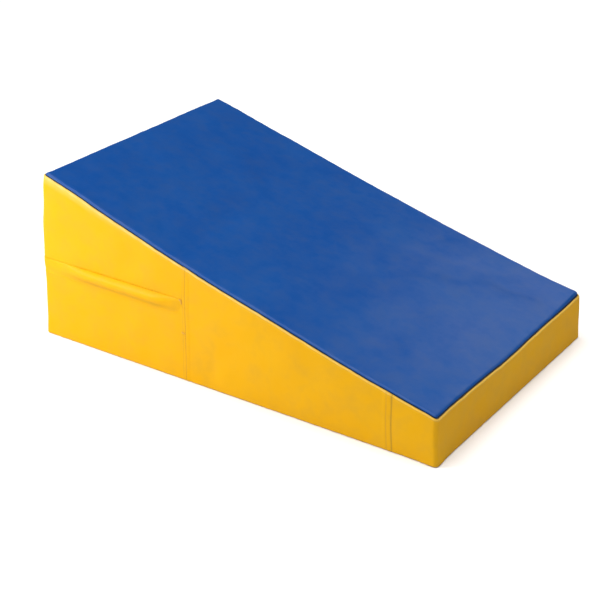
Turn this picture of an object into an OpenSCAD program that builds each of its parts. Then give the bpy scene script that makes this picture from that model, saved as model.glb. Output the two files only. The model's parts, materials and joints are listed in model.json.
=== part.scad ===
// Incline wedge mat: a laminated foam wedge in a sewn, zip-off vinyl cover.
// Frame: +X runs down the slope to the low end, +Z is up, the mat stands on z = 0.
// The origin is at the bottom centre of the whole object, flaps included.

/* [Mat] */
// Length of the mat, high end to low end
mat_length = 940; // [800:5:1200]
// Width of the mat
mat_width = 610; // [500:5:760]
// Height of the high end
high_end = 355; // [300:5:450]
// Height of the low end
low_end = 100; // [90:1:140]
// Radius of the cover's upright corners
corner_r = 10; // [6:1:20]

/* [Cover] */
// Thickness of one layer of cover
skin_t = 1.2; // [0.8:0.1:1.4]
// Distance from the high end to the rear lap seam's folded edge
rear_lap_at = 382; // [340:1:420]
// Distance from the high end to the front lap seam's folded edge
front_lap_at = 845; // [750:1:880]
// How far the rear bands lap over the side panels
rear_lap_w = 16; // [12:1:20]
// How far the side panels lap over the front band
front_lap_w = 18; // [15:1:24]
// Distance from the rear lap's folded edge to its row of stitching
rear_stitch_inset = 9; // [6:1:10]
// Distance from the front lap's folded edge to its row of stitching
front_stitch_inset = 11; // [6:1:13]

/* [Foam] */
// Top of the bottom slab
base_slab_top = 68; // [50:1:70]
// Top of the middle slab
middle_slab_top = 190; // [150:5:220]
// Thickness of the firm sheet along the incline, square to the slope
top_sheet_t = 24; // [15:1:25]

/* [Zip and flap] */
// Height of the zip's centre line
zip_z = 163; // [140:1:180]
// Height of the slit between the two rear bands
slit_h = 12; // [11:0.5:13]
// Height of one side of the zip's tape
tape_h = 14; // [12:1:18]
// Height of one side of the zip's coil
coil_h = 3; // [2.5:0.1:3]
// Height of the flap's hinge line
flap_root_z = 146; // [130:1:147]
// Height of the flap's free edge
flap_lip_z = 178; // [178:1:185]
// Thickness of the hemmed flap
flap_t = 1.8; // [1.4:0.1:2]
// How far the side flaps stand off the wall
side_flap_reach = 19; // [18.5:0.5:22]
// How far the back flap stands off the wall
back_flap_reach = 11; // [11:1:14]
// Distance from the high end to the slider, parked with the zip shut
slider_parked_at = 285; // [200:1:310]
// Length of the slider's body
slider_l = 14; // [12:1:16]
// Length of the pull, from its pin
pull_l = 10; // [8:0.5:10]

/* [Hidden] */
$fn = 48;

vinyl_blue = [0.08, 0.22, 0.55];
vinyl_yellow = [0.95, 0.75, 0.12];
foam_grey = [0.82, 0.83, 0.84];
foam_white = [0.93, 0.93, 0.9];
tape_black = [0.08, 0.08, 0.09];
coil_black = [0.14, 0.14, 0.15];
metal_grey = [0.6, 0.6, 0.62];

// The back flap stands behind the high end, so the mat sits half of that forward of centre
x_back = -mat_length / 2 + back_flap_reach / 2;
x_front = x_back + mat_length;
half_w = mat_width / 2;
slope = atan((high_end - low_end) / mat_length);
// One skin, measured straight down through the sloping top
skin_drop = skin_t / cos(slope);
sheet_drop = top_sheet_t / cos(slope);
// The cover is up to three layers deep: rear bands outside, side panels, then the front band
side_in = skin_t;
front_in = 2 * skin_t;
foam_gap = 0.2;
foam_in = 3 * skin_t + foam_gap;
slit_low = zip_z - slit_h / 2;
slit_high = zip_z + slit_h / 2;
// The coil stands this far out of the wall, and its two halves meet with this much between them
coil_out = 1.2;
coil_gap = 0.1;
lap_edge_rear = x_back + rear_lap_at;
lap_edge_front = x_back + front_lap_at;
// The side flaps run from near the corner to just short of the bar tacks
corner_gap = 8;
tack_gap = 1;
tack_w = 3;
tack_h = 14;
tack_x = lap_edge_rear - rear_lap_w - tack_w;
flap_x0 = x_back + corner_gap;
flap_x1 = tack_x - tack_gap;
// The zip ends under the flap, and the slit a little past its stops
stop_l = 3;
zip_end_x = flap_x1 - 10;
slit_end_x = zip_end_x + stop_l + 2;
// A flap's root is a round fold that clears the wall by this much
fold_r = 1.2;
wall_gap = 0.3;
flap_out = fold_r + wall_gap;
// Threads and bar tacks stand this far proud of the cover
thread_w = 1;
thread_out = 0.5;
// Slider and pull, measured outwards from the wall
slider_x = x_back + slider_parked_at;
plate_low = coil_out + 0.4;
plate_t = 2;
plate_top = plate_low + plate_t;
slider_half_h = 5;
lip_gap = 0.35;
lip_out = 0.4 - skin_t;
pin_r = 0.6;
pin_gap = 0.4;
pin_out = plate_top + pin_gap + pin_r;
bridge_t = 0.8;
bridge_half_l = 4;
bridge_half_h = 1;
arm_in = 1.6;
arm_out = 2.6;
tab_start = 5;
tab_half_h = 3.5;
// Overshoot for cuts
over = 1;

// Height of the cover's top surface at a place along the mat
function top_at(x) = high_end - (high_end - low_end) * (x - x_back) / mat_length;

// Side outline of the mat between two places along it, from z0 up to the slope less a drop
function outline(x0, x1, z0, drop) =
    [[x0, z0], [x1, z0], [x1, top_at(x1) - drop], [x0, top_at(x0) - drop]];

// A flat outline in X and Z, standing from y0 to y1
module upright(points, y0, y1) {
    translate([0, y1, 0])
    rotate([90, 0, 0])
    linear_extrude(y1 - y0)
    polygon(points);
}

// The mat's plan as a tall block with rounded upright corners, moved in from the cover's face
module plan_block(inset, z0, z1) {
    r = corner_r - inset;
    xa = x_back + inset;
    xb = x_front - inset;
    yb = half_w - inset;
    translate([xa + r, -yb, z0])
    cube([xb - xa - 2 * r, 2 * yb, z1 - z0]);
    translate([xa, -yb + r, z0])
    cube([xb - xa, 2 * yb - 2 * r, z1 - z0]);
    for (x = [xa + r, xb - r], y = [-yb + r, yb - r])
        translate([x, y, z0])
        cylinder(h = z1 - z0, r = r);
}

// A skin that follows the plan, between two insets
module plan_skin(outer, inner, z0, z1) {
    difference() {
        plan_block(outer, z0, z1);
        plan_block(inner, z0 - over, z1 + over);
    }
}

// One slab of foam between two heights, under the sheet on the incline
module foam_slab(z0, z1) {
    intersection() {
        plan_block(foam_in, z0, z1);
        upright(outline(x_back, x_front, 0, skin_drop + sheet_drop), -half_w, half_w);
    }
}

module foam_base_slab() {
    color(foam_grey)
    foam_slab(skin_t, base_slab_top);
}

module foam_middle_slab() {
    color(foam_grey)
    foam_slab(base_slab_top, middle_slab_top);
}

module foam_upper_wedge() {
    color(foam_grey)
    foam_slab(middle_slab_top, high_end);
}

module foam_top_sheet() {
    color(foam_white)
    intersection() {
        plan_block(foam_in, 0, high_end);
        upright(slope_layer(skin_drop, skin_drop + sheet_drop), -half_w, half_w);
    }
}

// A layer that lies along the slope, between two drops below the cover's top
function slope_layer(upper, lower) = [
    [x_back, top_at(x_back) - lower],
    [x_front, top_at(x_front) - lower],
    [x_front, top_at(x_front) - upper],
    [x_back, top_at(x_back) - upper]];

module top_panel() {
    color(vinyl_blue)
    intersection() {
        plan_block(0, 0, high_end);
        upright(slope_layer(0, skin_drop), -half_w, half_w);
    }
}

module bottom_panel() {
    color(vinyl_yellow)
    plan_block(0, 0, skin_t);
}

// Wraps the low end and laps behind the side panels
module front_band() {
    color(vinyl_yellow)
    intersection() {
        plan_skin(front_in, 3 * skin_t, skin_t, high_end);
        upright(outline(lap_edge_front - front_lap_w, x_front, skin_t, skin_drop),
            -half_w, half_w);
    }
}

// The near side panel's outer face, between the two lap seams
module side_panel() {
    upright(outline(lap_edge_rear - rear_lap_w, lap_edge_front, skin_t, skin_drop),
        -half_w + side_in, -half_w + front_in);
}

module side_panel_near() {
    color(vinyl_yellow)
    side_panel();
}

module side_panel_far() {
    color(vinyl_yellow)
    mirror([0, 1, 0])
    side_panel();
}

// Everything from behind the high end to a place along the mat, between two heights
module rear_zone(x1, z0, z1) {
    x0 = x_back - 2 * coil_out;
    translate([x0, -mat_width, z0])
    cube([x1 - x0, 2 * mat_width, z1 - z0]);
}

// A band round the high end, cut back for the zip. The two bands meet past the slit's ends
module rear_band(z0, z1) {
    difference() {
        intersection() {
            plan_skin(0, side_in, z0, z1);
            upright(outline(x_back, lap_edge_rear, skin_t, skin_drop), -half_w, half_w);
        }
        rear_zone(slit_end_x, slit_low, slit_high);
    }
}

module rear_upper_band() {
    color(vinyl_yellow)
    rear_band(zip_z, high_end);
}

module rear_lower_band() {
    color(vinyl_yellow)
    rear_band(skin_t, zip_z);
}

// A strip round the high end, as far along both sides as x1
module zip_strip(x1, outer, inner, z0, z1) {
    intersection() {
        plan_skin(outer, inner, z0, z1);
        rear_zone(x1, z0, z1);
    }
}

module zip_tape_upper() {
    color(tape_black)
    zip_strip(slit_end_x, side_in, front_in, zip_z + coil_gap, zip_z + tape_h);
}

module zip_tape_lower() {
    color(tape_black)
    zip_strip(slit_end_x, side_in, front_in, zip_z - tape_h, zip_z - coil_gap);
}

module zip_coil_upper() {
    color(coil_black)
    zip_strip(zip_end_x, -coil_out, side_in, zip_z + coil_gap, zip_z + coil_h);
}

module zip_coil_lower() {
    color(coil_black)
    zip_strip(zip_end_x, -coil_out, side_in, zip_z - coil_h, zip_z - coil_gap);
}

// One stop past each end of the coil, on the outside of the tape
module zip_end_stops() {
    color(metal_grey)
    for (side = [-1, 1])
        translate([zip_end_x + stop_l / 2, side * (half_w - side_in / 2 + coil_out / 2), zip_z])
        cube([stop_l, side_in + coil_out, 2 * coil_h], center = true);
}

// A row of thread up the near side, on a face that is set in from the cover's own
module thread_row(x, inset) {
    upright(outline(x - thread_w, x, skin_t, 2 * skin_drop),
        -half_w + inset - thread_out, -half_w + inset);
}

module rear_lap_stitches_near() {
    color(vinyl_yellow)
    thread_row(lap_edge_rear - rear_stitch_inset, 0);
}

module rear_lap_stitches_far() {
    color(vinyl_yellow)
    mirror([0, 1, 0])
    thread_row(lap_edge_rear - rear_stitch_inset, 0);
}

module front_lap_stitches_near() {
    color(vinyl_yellow)
    thread_row(lap_edge_front - front_stitch_inset, side_in);
}

module front_lap_stitches_far() {
    color(vinyl_yellow)
    mirror([0, 1, 0])
    thread_row(lap_edge_front - front_stitch_inset, side_in);
}

// One dense patch of thread past each end of the flap, level with its free edge
module flap_bar_tacks() {
    color(vinyl_yellow)
    for (side = [-1, 1])
        translate([tack_x + tack_w / 2, side * (half_w + thread_out / 2), flap_lip_z - tack_h / 2])
        cube([tack_w, thread_out, tack_h], center = true);
}

// Points along the middle of a flap's thickness, out from the wall and up
flap_steps = 14;
function bezier(a, b, c, d, t) =
    a * pow(1 - t, 3) + 3 * b * t * pow(1 - t, 2) + 3 * c * t * t * (1 - t) + d * pow(t, 3);
function flap_line(reach, t) = bezier(
    [flap_out, flap_root_z],
    [reach * 0.55, flap_root_z + 3],
    [reach * 1.3, flap_root_z + 12],
    [reach * 0.72, flap_lip_z], t);
function unit(v) = v / norm(v);
function flap_normal(reach, t) =
    let (d = unit(flap_line(reach, t + 0.01) - flap_line(reach, t - 0.01))) [d[1], -d[0]];
function flap_edge(reach, offset) =
    [for (i = [0:flap_steps]) let (t = i / flap_steps)
        flap_line(reach, t) + offset * flap_normal(reach, t)];
function reversed(list) = [for (i = [len(list) - 1:-1:0]) list[i]];

// A flap along +X: X is its length, -Y is outwards from the wall at y = 0
module flap(reach, length) {
    points = concat(flap_edge(reach, flap_t / 2), reversed(flap_edge(reach, -flap_t / 2)));
    rotate([90, 0, 90])
    union() {
        linear_extrude(length)
        polygon([for (p = points) [-p[0], p[1]]]);
        translate([-flap_out, flap_root_z, 0])
        cylinder(h = length, r = fold_r);
    }
}

module zip_flap_near() {
    color(vinyl_yellow)
    translate([flap_x0, -half_w, 0])
    flap(side_flap_reach, flap_x1 - flap_x0);
}

module zip_flap_far() {
    color(vinyl_yellow)
    mirror([0, 1, 0])
    translate([flap_x0, -half_w, 0])
    flap(side_flap_reach, flap_x1 - flap_x0);
}

module zip_flap_back() {
    color(vinyl_yellow)
    translate([x_back, half_w - corner_gap, 0])
    rotate([0, 0, -90])
    flap(back_flap_reach, mat_width - 2 * corner_gap);
}

// Puts a shape that is drawn with +Z outwards onto the near wall, at the parked slider
module on_near_wall() {
    translate([slider_x, -half_w, zip_z])
    rotate([90, 0, 0])
    children();
}

// A block from one corner to the other
module block(a, b) {
    translate(a)
    cube(b - a);
}

module zip_slider() {
    color(metal_grey)
    on_near_wall() {
        block([-slider_l / 2, -slider_half_h, plate_low], [slider_l / 2, slider_half_h, plate_top]);
        for (side = [0, 1])
            mirror([0, side, 0])
            block([-slider_l / 2, coil_h + lip_gap, lip_out],
                [slider_l / 2, slider_half_h, plate_low]);
        for (side = [0, 1])
            mirror([side, 0, 0])
            block([bridge_half_l - bridge_t, -bridge_half_h, plate_top],
                [bridge_half_l, bridge_half_h, pin_out + pin_r + pin_gap]);
        block([-bridge_half_l, -bridge_half_h, pin_out + pin_r + pin_gap],
            [bridge_half_l, bridge_half_h, pin_out + pin_r + pin_gap + bridge_t]);
    }
}

module zip_pull() {
    color(metal_grey)
    on_near_wall()
    translate([0, 0, pin_out]) {
        rotate([90, 0, 0])
        cylinder(h = 2 * arm_out, r = pin_r, center = true);
        for (side = [0, 1])
            mirror([0, side, 0])
            block([0, arm_in, -pin_r], [tab_start, arm_out, pin_r]);
        block([tab_start, -tab_half_h, -pin_r], [pull_l, tab_half_h, pin_r]);
    }
}

foam_base_slab();
foam_middle_slab();
foam_upper_wedge();
foam_top_sheet();
top_panel();
bottom_panel();
front_band();
side_panel_near();
side_panel_far();
rear_upper_band();
rear_lower_band();
zip_tape_upper();
zip_tape_lower();
zip_coil_upper();
zip_coil_lower();
zip_end_stops();
rear_lap_stitches_near();
rear_lap_stitches_far();
front_lap_stitches_near();
front_lap_stitches_far();
flap_bar_tacks();
zip_flap_near();
zip_flap_back();
zip_flap_far();
zip_slider();
zip_pull();
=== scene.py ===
import json
import math

import bpy
import numpy as np
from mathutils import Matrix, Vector


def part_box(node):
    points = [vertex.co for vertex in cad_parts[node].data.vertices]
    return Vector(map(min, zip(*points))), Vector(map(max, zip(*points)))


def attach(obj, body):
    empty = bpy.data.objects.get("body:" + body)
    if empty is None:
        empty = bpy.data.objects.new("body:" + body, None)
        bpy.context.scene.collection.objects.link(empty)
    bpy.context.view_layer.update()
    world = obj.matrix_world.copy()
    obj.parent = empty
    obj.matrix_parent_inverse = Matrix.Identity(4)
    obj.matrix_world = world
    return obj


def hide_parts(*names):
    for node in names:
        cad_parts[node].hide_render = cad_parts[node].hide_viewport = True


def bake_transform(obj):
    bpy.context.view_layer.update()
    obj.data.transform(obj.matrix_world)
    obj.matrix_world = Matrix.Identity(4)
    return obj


# The incline wedge mat's looks: a slack vinyl cover over laminated foam, its lap seams,
# and a zip under a hemmed flap round the high end. Metres, +X down the slope, near side -Y.

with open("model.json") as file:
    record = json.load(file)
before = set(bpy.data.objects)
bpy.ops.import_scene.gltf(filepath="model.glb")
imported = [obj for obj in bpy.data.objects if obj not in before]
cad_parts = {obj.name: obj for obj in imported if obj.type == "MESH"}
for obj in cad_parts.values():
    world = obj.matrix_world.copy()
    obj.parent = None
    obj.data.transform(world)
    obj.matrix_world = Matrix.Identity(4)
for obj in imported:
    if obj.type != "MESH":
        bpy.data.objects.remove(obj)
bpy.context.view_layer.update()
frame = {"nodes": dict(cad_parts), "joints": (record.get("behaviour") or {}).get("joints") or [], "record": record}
MM = 0.001


# ---------------------------------------------------------------- places, from the frame

def mount(name):
    return next(m for m in frame["record"]["mounts"] if m["name"] == name)


def joint(name):
    return next(j for j in frame["joints"] if j["name"] == name)


PLAN_LOW, PLAN_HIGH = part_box("bottom_panel")
X_BACK, X_FRONT, HALF_W = PLAN_LOW.x, PLAN_HIGH.x, PLAN_HIGH.y
LENGTH = X_FRONT - X_BACK
HIGH_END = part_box("top_panel")[1].z
SLOPE = mount("incline")["axis"][0] / mount("incline")["axis"][2]
ZIP_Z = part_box("rear_lower_band")[1].z
SLIT_HALF = 6 * MM
LAP_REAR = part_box("rear_upper_band")[1].x
LAP_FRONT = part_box("side_panel_near")[1].x
SIDE_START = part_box("side_panel_near")[0].x
FRONT_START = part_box("front_band")[0].x
ZIP_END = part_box("zip_coil_upper")[1].x
SLIT_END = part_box("zip_tape_upper")[1].x
TACK_LOW, TACK_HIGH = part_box("flap_bar_tacks")
HINGE_OUT = -joint("near_flap_lift")["pos_m"][1] - HALF_W
HINGE_Z = joint("near_flap_lift")["pos_m"][2]
LIP_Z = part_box("zip_flap_near")[1].z
REAR_STITCH_X = sum(corner.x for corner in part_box("rear_lap_stitches_near")) / 2
FRONT_STITCH_X = sum(corner.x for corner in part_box("front_lap_stitches_near")) / 2

# Sizes of the cover's own detail
CLOTH_T = 1.1 * MM
FACE_IN = 0.3 * MM
LAP_LIFT = 0.45 * MM
CORNER_R = 9 * MM
TOP_RISE = 3 * MM
TOP_ROLL_W = 6.5 * MM
TOP_ROLL_H = 4 * MM
SIDE_ROLL = 3.5 * MM
BASE_ROLL = 2.2 * MM
SEAM_IN = 5.0 * MM
SEAM_DROP = 1.5 * MM
STITCH_PITCH = 4.2 * MM
STITCH_LENGTH = 3.4 * MM
THREAD_R = 0.34 * MM
TACK_R = 0.45 * MM
BASE_T = 1.0 * MM
BASE_GAP = 0.25 * MM
FOLD_GAP = 0.05 * MM
TUCKED = 1.0 * MM
ZIP_QUIET = 40 * MM
WALL_STEP = 7 * MM
SEWN = 24 * MM
SEWN_FADE = 30 * MM
TAPE_W = 14 * MM
TAPE_T = 0.6 * MM
FOAM_GAP = 0.15 * MM

# Each lap seam: how wide it is, where its rows of stitching lie, and the seed of its unevenness
REAR_WIDTH = LAP_REAR - SIDE_START
REAR_LAP = (REAR_WIDTH, (LAP_REAR - REAR_STITCH_X, REAR_WIDTH - 0.5 * MM), 21)
FRONT_LAP = (LAP_FRONT - FRONT_START, (LAP_FRONT - FRONT_STITCH_X,), 31)

# The flap: how far it bellies out, its thickness, its height along its curve, how far past each corner
# it lies flat, its ends, and a bend length listed with each piece but not used
SIDE_REACH = 13 * MM
BACK_REACH = 11 * MM
FLAP_T = 1.8 * MM
WRAP = 45 * MM
FLAP_EDGE = TACK_HIGH.x + 0.5 * MM
BEND_LENGTH = 95 * MM

# The cloth simulation
SIM_FRAMES = 20
PRESSURE = 0.3
STRETCH_STIFFNESS = 40
SHEAR_STIFFNESS = 20
BEND_STIFFNESS = 25
SMOOTHING = 8
NEARLY_FREE = 0.999


def top_at(x):
    """The incline's height before the cover slackens."""
    return HIGH_END - SLOPE * (x - X_BACK)


def seam_sink(x, y):
    """How much lower the top seam sits round the back and along the far side."""
    back = 4.5 * MM * smooth((X_BACK + 50 * MM - x) / (50 * MM)) * smooth((y + HALF_W) / (30 * MM))
    far = 3 * MM * smooth(y / HALF_W * 2 - 1)
    return np.maximum(back, far)


def seam_at(columns):
    """The height of the seam between the walls and the top."""
    return top_at(columns[:, 0]) - SEAM_DROP - seam_sink(columns[:, 0], columns[:, 1])


# ---------------------------------------------------------------- shape helpers

def smooth(t):
    """Eases from 0 to 1 as t goes from 0 to 1."""
    t = np.clip(t, 0, 1)
    return t * t * (3 - 2 * t)


def bell(t):
    return np.exp(-t * t)


def waves(places, size, seed, count=9):
    """Smooth unevenness of about -1 to 1 over a few coordinates, about size from crest to crest."""
    rng = np.random.default_rng(seed)
    total = np.zeros(np.broadcast(*places).shape)
    for _ in range(count):
        way = rng.normal(size=len(places))
        way *= 2 * math.pi * rng.uniform(0.6, 1.5) / (size * np.linalg.norm(way))
        turn = rng.uniform(0, 2 * math.pi)
        total = total + np.sin(sum(k * p for k, p in zip(way, places)) + turn)
    return total / math.sqrt(2 * count)


def spaced(start, stop, step):
    return np.linspace(start, stop, max(2, int(round(abs(stop - start) / step)) + 1))


def settled(points):
    """Where a point of the mat comes to rest. The top sags along its edges, the sides bow, the high
    end leans and the base spreads, all in millimetres. Nothing sags below the flap's lip."""
    x, y, z = points[..., 0], points[..., 1], points[..., 2]
    down = np.clip((x - X_BACK) / LENGTH, 0, 1)
    across = np.clip((y + HALF_W) / (2 * HALF_W), 0, 1)
    near, far = 1 - across, across
    high = top_at(np.clip(x, X_BACK, X_FRONT))
    share = np.clip(z / high, 0, 1)

    still_below = (LIP_Z + 2 * MM) * (1 - smooth((x - LAP_REAR - 20 * MM) / (170 * MM)))
    up = np.clip((z - still_below) / (high - still_below), 0, 1.1)
    near_sag = 13.5 * smooth(down / 0.4) - 8
    near_sag = near_sag + 1.5 * smooth((down - 0.4) / 0.3) - 5 * smooth((down - 0.86) / 0.14)
    far_sag = 8 * np.sin(math.pi * down ** 1.15)
    middle_rise = 3 * np.sin(math.pi * across) * np.sin(math.pi * down)
    low_edge_dip = 5 * bell((y + 30 * MM) / (90 * MM)) * smooth((down - 0.9) / 0.1)
    far_corner_rise = 5 * bell((1 - down) / 0.06) * bell(near / 0.09)
    uneven = 0.8 * waves((x, y), 190 * MM, 4) + 0.3 * waves((x, y), 90 * MM, 5)
    sag = near_sag * near + far_sag * far - middle_rise + low_edge_dip - far_corner_rise + uneven

    bow = (2 * np.sin(math.pi * down) - 6 * near * (1 - down) ** 2) * up ** 1.5
    belly = 1.6 * np.sin(math.pi * share) * smooth((x - LAP_REAR) / (80 * MM))
    spread = (1.5 + 5 * far * down + 3 * bell((1 - down) / 0.04) * near) * (1 - share) ** 2
    wider = 1 + (bow + belly + spread) * MM / HALF_W

    lean = 10 * near * up ** 1.3 * (1 - down) ** 2
    low_end = 1.8 * np.sin(math.pi * share) * np.sin(math.pi * across) * smooth((down - 0.9) / 0.1)
    heel = -7 * (1 - np.clip(z / (130 * MM), 0, 1)) ** 1.5 * (1 - down) ** 3
    toe = (3 + 3 * bell(far / 0.06)) * (1 - share) ** 2 * down ** 3
    along = (lean + low_end + heel + toe) * MM
    return np.stack([x + along, y * wider, z - sag * MM * up ** 1.2], axis=-1)


# ---------------------------------------------------------------- mesh helpers

def add_to_scene(name, data):
    obj = bpy.data.objects.new(name, data)
    bpy.context.scene.collection.objects.link(obj)
    return obj


def make_object(name, points, faces, marks=None, flat=0):
    """A smooth-shaded mesh object, but for its last flat faces, with marks from 0 to 1 on its points."""
    mesh = bpy.data.meshes.new(name)
    mesh.from_pydata(np.asarray(points).reshape(-1, 3).tolist(), [], faces)
    mesh.update()
    if flat:
        caps = {key for face in mesh.polygons[-flat:] for key in face.edge_keys}
        mesh.edges.foreach_set("use_edge_sharp", [edge.key in caps for edge in mesh.edges])
    mesh.polygons.foreach_set("use_smooth", np.arange(len(mesh.polygons)) < len(mesh.polygons) - flat)
    for mark, values in (marks or {}).items():
        layer = mesh.attributes.new(mark, "FLOAT", "POINT")
        layer.data.foreach_set("value", np.asarray(values, np.float32).ravel())
    return add_to_scene(name + "_visual" if name in frame["nodes"] else name, mesh)


def grid_faces(rows, columns, start=0, flip=False):
    """Faces of a grid of points, row by row."""
    faces = []
    for r in range(rows - 1):
        for c in range(columns - 1):
            a = start + r * columns + c
            quad = (a, a + 1, a + columns + 1, a + columns)
            faces.append(quad[::-1] if flip else quad)
    return faces


def tube_faces(rings, rounds, inward=False):
    """Faces of a tube of rings, with a cap on each end. Inward is for rings that run the other way."""
    faces = []
    for r in range(rings - 1):
        for k in range(rounds):
            a, b = r * rounds + k, r * rounds + (k + 1) % rounds
            faces.append((a, a + rounds, b + rounds, b) if inward else (a, b, b + rounds, a + rounds))
    caps = [tuple(range(rounds))[::-1], tuple(range((rings - 1) * rounds, rings * rounds))]
    return faces + [cap[::-1] if inward else cap for cap in caps]


def relax(obj, free, limit):
    """Lets a panel settle as cloth pressed out by its filling, smooths how far it moved and keeps
    the result. Free is 0 where the panel is sewn and 1 away from there. No point moves past limit."""
    free = np.asarray(free).ravel()
    mesh = obj.data
    start = np.zeros(len(mesh.vertices) * 3, np.float32)
    mesh.vertices.foreach_get("co", start)
    start = start.reshape(-1, 3)
    held = obj.vertex_groups.new(name="held")
    for index in np.flatnonzero(free < NEARLY_FREE):
        held.add([int(index)], float(1 - free[index]), "REPLACE")
    cloth = obj.modifiers.new("settle", "CLOTH")
    cloth.point_cache.frame_start = 1
    cloth.point_cache.frame_end = SIM_FRAMES
    cloth.settings.quality = 4
    cloth.settings.mass = 0.4
    cloth.settings.tension_stiffness = STRETCH_STIFFNESS
    cloth.settings.compression_stiffness = STRETCH_STIFFNESS
    cloth.settings.shear_stiffness = SHEAR_STIFFNESS
    cloth.settings.bending_stiffness = BEND_STIFFNESS
    cloth.settings.vertex_group_mass = "held"
    cloth.settings.use_pressure = True
    cloth.settings.uniform_pressure_force = PRESSURE
    cloth.settings.shrink_min = -0.003
    cloth.settings.effector_weights.gravity = 0
    cloth.collision_settings.use_collision = False
    scene = bpy.context.scene
    for frame_number in range(1, SIM_FRAMES + 1):
        scene.frame_set(frame_number)
    shape = obj.evaluated_get(bpy.context.evaluated_depsgraph_get()).to_mesh()
    moved = np.zeros(len(start) * 3, np.float32)
    shape.vertices.foreach_get("co", moved)
    move = moved.reshape(-1, 3) - start
    edges = np.array([edge.vertices[:] for edge in mesh.edges])
    share = np.bincount(edges.ravel(), minlength=len(move))[:, None]
    for _ in range(SMOOTHING):
        total = np.zeros_like(move)
        np.add.at(total, edges[:, 0], move[edges[:, 1]])
        np.add.at(total, edges[:, 1], move[edges[:, 0]])
        move = (move + total / share) / 2
    size = np.linalg.norm(move, axis=1)[:, None]
    move = move * limit / (limit + size) * free[:, None]
    mesh.vertices.foreach_set("co", (start + move).ravel())
    obj.modifiers.remove(cloth)
    obj.vertex_groups.clear()
    scene.frame_set(1)
    mesh.update()


def thicken(obj, thickness=CLOTH_T):
    layer = obj.modifiers.new("thickness", "SOLIDIFY")
    layer.thickness = thickness
    layer.offset = -1


def finish_piece(obj, body, material, nodes):
    """Gives a piece its material and the body it moves with, and hides the parts it stands for."""
    obj.data.materials.append(material)
    if body:
        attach(obj, body)
    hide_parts(*nodes)


# ---------------------------------------------------------------- materials

class Nodes:
    """A material's node tree, with short calls for what the finishes share."""

    def __init__(self, name, colour, **shader):
        self.material = bpy.data.materials.new(name)
        self.material.use_nodes = True
        self.tree = self.material.node_tree
        self.shader = self.tree.nodes["Principled BSDF"]
        self.shader.inputs["Base Color"].default_value = (*colour, 1)
        for key, value in shader.items():
            self.shader.inputs[key.replace("_", " ")].default_value = value
        self.place = self.tree.nodes.new("ShaderNodeTexCoord").outputs["Object"]
        self.height = None

    def add(self, kind, links=None, **settings):
        """A new node, with its settings and what feeds it: other nodes, numbers or colours."""
        node = self.tree.nodes.new("ShaderNode" + kind)
        for key, value in settings.items():
            setattr(node, key, value)
        for key, value in (links or {}).items():
            if isinstance(value, bpy.types.NodeSocket):
                self.tree.links.new(value, node.inputs[key])
            else:
                node.inputs[key].default_value = (*value, 1) if isinstance(value, tuple) else value
        return node

    def noise(self, scale, detail=2.0, roughness=0.5):
        links = {"Vector": self.place, "Scale": scale, "Detail": detail, "Roughness": roughness}
        return self.add("TexNoise", links).outputs["Fac"]

    def bands(self, scale, distortion, way):
        links = {"Vector": self.place, "Scale": scale, "Distortion": distortion}
        return self.add("TexWave", links, bands_direction=way).outputs["Fac"]

    def mark(self, name):
        return self.add("Attribute", attribute_name=name).outputs["Fac"]

    def between(self, factor, low, high, from_low=0.0, from_high=1.0):
        """Carries a factor from one range over to the range from low to high."""
        ends = {"From Min": from_low, "From Max": from_high, "To Min": low, "To Max": high}
        return self.add("MapRange", {"Value": factor, **ends}).outputs["Result"]

    def math(self, operation, first, second):
        return self.add("Math", {0: first, 1: second}, operation=operation).outputs["Value"]

    def mixed(self, factor, first, second):
        links = {0: factor, 6: first, 7: second}
        return self.add("Mix", links, data_type="RGBA").outputs[2]

    def bump(self, height, strength, distance):
        """Adds relief on top of any that is there already."""
        links = {"Height": height, "Strength": strength, "Distance": distance}
        if self.height:
            links["Normal"] = self.height
        self.height = self.add("Bump", links).outputs["Normal"]
        self.tree.links.new(self.height, self.shader.inputs["Normal"])

    def drive(self, socket, value):
        self.tree.links.new(value, self.shader.inputs[socket])


def vinyl(name, colour, shade, bloom, pale, rough, gloss):
    """Coated fabric: a fine embossed grain, cloudy sheen, painted shade along seams, stitching, folds and under
    the flap, and a pale painted highlight along the rolled crests.
    """
    n = Nodes(name, colour, Specular_IOR_Level=gloss)
    cloud = n.noise(7.0, 3.0, 0.55)
    patch = n.noise(28.0, 3.0, 0.6)
    tone = n.mixed(n.between(cloud, 0.0, 1.0, 0.35, 0.68), colour, bloom)
    tone = n.mixed(n.between(patch, 0.0, 0.12, 0.45, 0.75), tone, shade)
    # Painted highlight: this mark lightens the rolled top edge of the walls towards pale.
    tone = n.mixed(n.mark("crest_highlight"), tone, pale)
    # Painted shade: the seam mark darkens seam creases, stitch lines, fold edges, the rolled edge of the top and
    # the flap's underside.
    tone = n.mixed(n.between(n.mark("seam"), 0.0, 0.9), tone, shade)
    n.drive("Base Color", tone)
    smudge = n.math("ADD", n.between(cloud, rough - 0.06, rough + 0.07), n.between(patch, -0.04, 0.07))
    n.drive("Roughness", n.math("ADD", smudge, n.between(n.mark("seam"), 0.0, 0.4)))
    n.drive("Specular IOR Level", n.between(patch, gloss * 0.75, gloss * 1.35, 0.35, 0.65))
    n.bump(n.noise(24.0), 0.10, 0.9 * MM)
    n.bump(n.noise(1150.0), 0.10, 0.10 * MM)
    return n.material


def foam(name, colour, shade, pore):
    """Cut polyurethane foam: open pores, a soft mottle and no gloss."""
    n = Nodes(name, colour, Roughness=0.95, Specular_IOR_Level=0.15, Sheen_Weight=0.2)
    cells = n.add("TexVoronoi", {"Vector": n.place, "Scale": pore}).outputs["Distance"]
    n.drive("Base Color", n.mixed(n.between(n.noise(pore / 30, 3.0), 0.0, 1.0, 0.3, 0.7), colour, shade))
    n.bump(cells, 0.6, 0.8 * MM)
    n.bump(n.noise(pore * 1.7, 3.0), 0.4, 0.5 * MM)
    return n.material


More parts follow.
